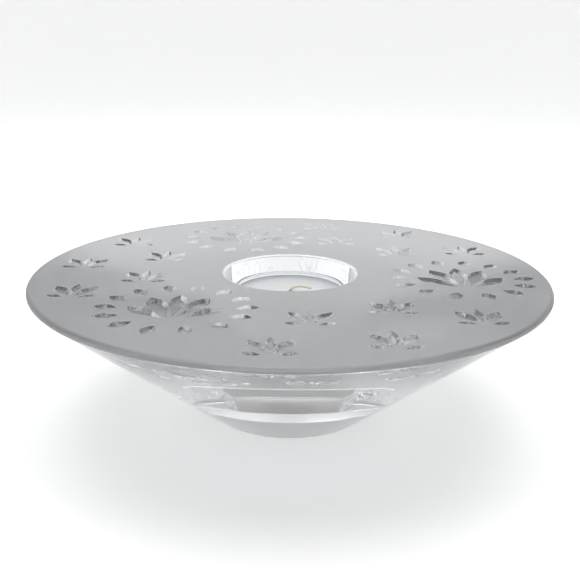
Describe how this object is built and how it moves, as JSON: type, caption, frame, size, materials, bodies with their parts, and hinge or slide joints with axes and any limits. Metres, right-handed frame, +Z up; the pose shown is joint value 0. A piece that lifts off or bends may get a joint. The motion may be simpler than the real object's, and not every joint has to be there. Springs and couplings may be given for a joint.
{
  "type": "votive candle holder",
  "caption": "Wide low pressed-glass votive holder: a satin disc cut with blossoms over a clear cone with a flat base, and a tealight in a clear cup that lifts out of its well.",
  "frame": {"origin": "middle of the flat base, on the surface the holder stands on", "axes": "+Z up along the axis of the disc, cone and well; the blossoms fan towards +Y and the picture looks along +Y"},
  "size_m": [0.178, 0.178, 0.052],
  "materials": {
    "glass": "clear polished sides, satin top with polished cuts",
    "clear_cup": "clear moulded polycarbonate",
    "wax": "smooth translucent paraffin wax",
    "cotton": "braided waxed cotton",
    "tin": "bare tinned sheet"
  },
  "bodies": {
    "holder": {"glass_holder": "glass"},
    "tealight": {"tealight_cup": "clear_cup", "tealight_wax": "wax", "wick": "cotton", "wick_sustainer": "tin"}
  },
  "joints": [
    {"name": "tealight_lift", "type": "slide", "parent": "holder", "child": "tealight", "axis": [0, 0, 1], "range_m": [0, 0.035]}
  ]
}
